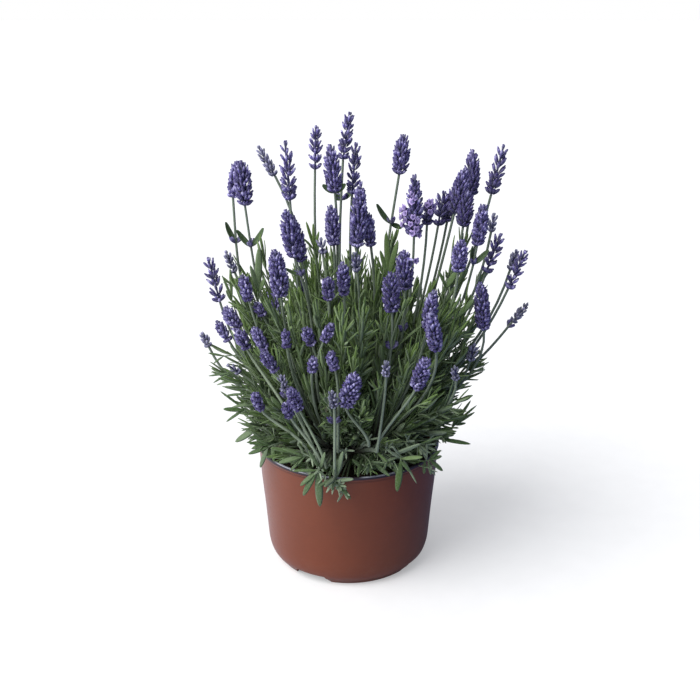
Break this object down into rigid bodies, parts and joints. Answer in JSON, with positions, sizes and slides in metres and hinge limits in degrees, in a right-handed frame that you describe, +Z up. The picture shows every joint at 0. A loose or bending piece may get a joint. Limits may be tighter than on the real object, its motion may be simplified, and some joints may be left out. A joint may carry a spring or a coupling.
{
  "type": "potted lavender",
  "caption": "Lavender plant in bloom, with narrow grey-green leaves and violet flower spikes on thin stalks, growing in compost in a round brown plastic nursery pot.",
  "frame": {"origin": "centre of the pot's flat underside, on the pot's axis", "axes": "+Z up along the pot's axis, -Y towards the viewer of the picture, +X to the viewer's right"},
  "size_m": [0.3101, 0.2736, 0.4133],
  "materials": {
    "pot_plastic": "satin injection-moulded plastic, terracotta brown",
    "compost": "dark crumbly peat compost",
    "foliage": "grey-green leaves and stalks, with fine short hairs that make them matt",
    "flowers": "blue-violet calyces and lilac corollas, matt and finely hairy"
  },
  "bodies": {
    "root": {"compost": "compost", "flower_head_01": "flowers", "flower_head_02": "flowers", "flower_head_04": "flowers", "flower_head_05": "flowers", "flower_head_06": "flowers", "flower_head_07": "flowers", "flower_head_08": "flowers", "flower_head_09": "flowers", "flower_head_10": "flowers", "flower_head_11": "flowers", "flower_head_12_13": "flowers", "flower_head_14": "flowers", "flower_head_15": "flowers", "flower_head_16": "flowers", "flower_head_17": "flowers", "flower_head_18_19_20_21": "flowers", "flower_head_22": "flowers", "flower_head_23": "flowers", "flower_head_24": "flowers", "flower_head_26": "flowers", "flower_head_27": "flowers", "flower_head_30": "flowers", "flower_head_31": "flowers", "flower_head_32": "flowers", "flower_head_33": "flowers", "flower_head_34": "flowers", "flower_head_35": "flowers", "flower_head_36": "flowers", "flower_head_37": "flowers", "flower_head_39": "flowers", "flower_head_41": "flowers", "flower_head_44": "flowers", "flower_head_47": "flowers", "flower_head_52": "flowers", "flower_head_58": "flowers", "flower_head_59": "flowers", "flower_head_66": "flowers", "flower_head_67": "flowers", "flower_head_68": "flowers", "flower_head_69": "flowers", "flower_head_70": "flowers", "flower_head_71": "flowers", "flower_head_73": "flowers", "flower_head_75": "flowers", "flower_head_78": "flowers", "flower_head_79": "flowers", "leafy_bunch_1": "foliage", "leafy_bunch_10": "foliage", "leafy_bunch_2": "foliage", "leafy_bunch_3": "foliage", "leafy_bunch_4": "foliage", "leafy_bunch_5": "foliage", "leafy_bunch_6": "foliage", "leafy_bunch_7": "foliage", "leafy_bunch_8": "foliage", "leafy_bunch_9": "foliage", "pot": "pot_plastic"}
  },
  "joints": []
}
